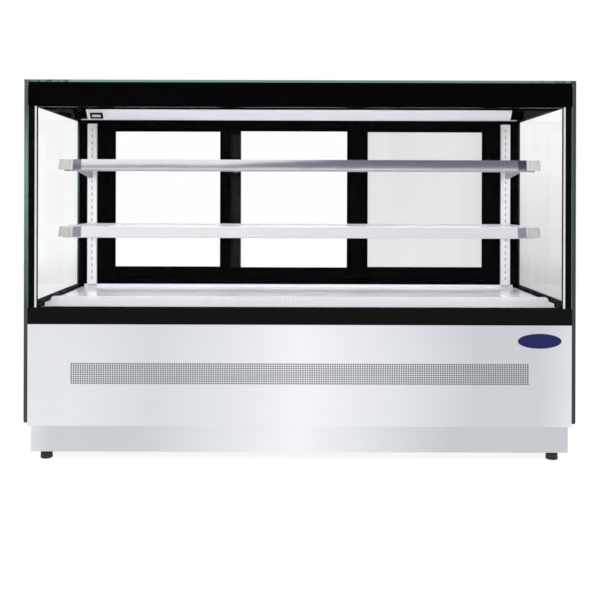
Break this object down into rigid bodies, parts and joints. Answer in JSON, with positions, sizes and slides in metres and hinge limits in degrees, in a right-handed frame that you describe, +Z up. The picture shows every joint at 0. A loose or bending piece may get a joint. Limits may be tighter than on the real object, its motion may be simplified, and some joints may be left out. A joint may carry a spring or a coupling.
{
  "type": "refrigerated display case",
  "caption": "Square glass refrigerated display case with glass shelves, sliding rear doors and a louvred machine base on levelling feet.",
  "frame": {"origin": "on the floor under the centre of the case", "axes": "+X to the right seen from the front, +Y to the rear, +Z up"},
  "size_m": [1.8, 0.68, 1.25],
  "materials": {
    "stainless": "satin brushed stainless front, plinth and grille",
    "rear_steel": "satin grey coated steel service panel",
    "chassis_steel": "dark painted tube and galvanised pan",
    "foot_black": "moulded black levelling foot",
    "black_trim": "satin black coated frame",
    "black_frame": "satin black extruded door and window frames",
    "ceiling_skin": "black coated foam ceiling",
    "clear_glass": "clear toughened glass",
    "top_glass": "clear glass top with green edges, black enamelled below",
    "spacer_bar": "bright spacer bar and plated screws",
    "lamp": "opal lamp diffuser on a white back",
    "white_foam_skin": "white coated insulated trough",
    "deck_steel": "polished stainless deck, strip and ledge",
    "pilaster_steel": "pale slotted standards and arms",
    "polished_trim": "mirror polished shelf front",
    "machine_black": "black enamelled compressor and fan plates",
    "coil_fins": "aluminium fins on tubes",
    "fan_grey": "moulded grey fan",
    "copper": "drawn copper tube",
    "control_black": "black moulded controls"
  },
  "bodies": {
    "cabinet": {"base_frame": "chassis_steel", "plinth_front": "stainless", "plinth_returns": "stainless", "front_panel": "stainless", "grille_panel": "stainless", "front_sill": "black_trim", "side_casings": "black_trim", "side_glass_outer_left": "clear_glass", "side_glass_outer_right": "clear_glass", "side_glass_inner": "clear_glass", "side_glass_spacers": "black_frame", "front_glass_outer": "clear_glass", "front_glass_inner": "clear_glass", "front_glass_spacer": "spacer_bar", "front_header": "black_trim", "ceiling_panel": "ceiling_skin", "top_glass": "top_glass", "ceiling_light": "lamp", "insulated_tub": "white_foam_skin", "deck_pan": "deck_steel", "front_riser": "deck_steel", "front_ledge": "deck_steel", "rear_sill": "black_frame", "rear_top_rail": "black_frame", "rear_jambs": "black_frame", "rear_header": "deck_steel", "thermometer": "control_black", "pilasters": "pilaster_steel", "shelf_brackets": "pilaster_steel", "compressor": "machine_black", "condenser_coil": "coil_fins", "condenser_fan_frame": "machine_black", "evaporator_coil": "coil_fins", "evaporator_fan_frame": "machine_black", "refrigerant_pipes": "copper", "condensate_tray": "white_foam_skin", "rear_service_panel": "rear_steel", "panel_screws": "spacer_bar", "rear_controls": "control_black", "cable_gland": "control_black"},
    "door_left": {"door_frame_left": "black_frame", "door_glass_left": "clear_glass"},
    "door_middle": {"door_frame_middle": "black_frame", "door_glass_middle": "clear_glass"},
    "door_right": {"door_frame_right": "black_frame", "door_glass_right": "clear_glass"},
    "upper_shelf": {"upper_shelf_glass": "clear_glass", "upper_shelf_trim": "polished_trim", "upper_shelf_light": "lamp"},
    "lower_shelf": {"lower_shelf_glass": "clear_glass", "lower_shelf_trim": "polished_trim", "lower_shelf_light": "lamp"},
    "foot_front_left": {"foot_front_left": "foot_black"},
    "foot_front_right": {"foot_front_right": "foot_black"},
    "foot_rear_left": {"foot_rear_left": "foot_black"},
    "foot_rear_right": {"foot_rear_right": "foot_black"},
    "condenser_fan": {"condenser_fan_rotor": "fan_grey"},
    "evaporator_fan": {"evaporator_fan_rotor": "fan_grey"},
    "power_switch": {"power_switch": "control_black"},
    "light_switch": {"light_switch": "control_black"}
  },
  "joints": [
    {"name": "door_left_slide", "type": "slide", "parent": "cabinet", "child": "door_left", "axis": [1, 0, 0], "range_m": [0, 0.465]},
    {"name": "door_middle_slide", "type": "slide", "parent": "cabinet", "child": "door_middle", "axis": [1, 0, 0], "range_m": [-0.4695, 0.5455]},
    {"name": "door_right_slide", "type": "slide", "parent": "cabinet", "child": "door_right", "axis": [1, 0, 0], "range_m": [-0.465, 0]},
    {"name": "upper_shelf_lift", "type": "slide", "parent": "cabinet", "child": "upper_shelf", "axis": [0, 0, 1], "range_m": [0, 0.012]},
    {"name": "lower_shelf_lift", "type": "slide", "parent": "cabinet", "child": "lower_shelf", "axis": [0, 0, 1], "range_m": [0, 0.012]},
    {"name": "foot_front_left_level", "type": "slide", "parent": "cabinet", "child": "foot_front_left", "axis": [0, 0, -1], "range_m": [0, 0.018]},
    {"name": "foot_front_right_level", "type": "slide", "parent": "cabinet", "child": "foot_front_right", "axis": [0, 0, -1], "range_m": [0, 0.018]},
    {"name": "foot_rear_left_level", "type": "slide", "parent": "cabinet", "child": "foot_rear_left", "axis": [0, 0, -1], "range_m": [0, 0.018]},
    {"name": "foot_rear_right_level", "type": "slide", "parent": "cabinet", "child": "foot_rear_right", "axis": [0, 0, -1], "range_m": [0, 0.018]},
    {"name": "condenser_fan_spin", "type": "hinge", "parent": "cabinet", "child": "condenser_fan", "pos_m": [0.38, -0.21, 0.2045], "axis": [0, 1, 0], "continuous": true},
    {"name": "evaporator_fan_spin", "type": "hinge", "parent": "cabinet", "child": "evaporator_fan", "pos_m": [-0.12, 0.05, 0.425], "axis": [0, 1, 0], "continuous": true},
    {"name": "power_switch_rock", "type": "hinge", "parent": "cabinet", "child": "power_switch", "pos_m": [0.64, 0.332, 0.29], "axis": [1, 0, 0], "range_deg": [0, 16]},
    {"name": "light_switch_rock", "type": "hinge", "parent": "cabinet", "child": "light_switch", "pos_m": [0.6, 0.332, 0.29], "axis": [1, 0, 0], "range_deg": [0, 16]}
  ]
}
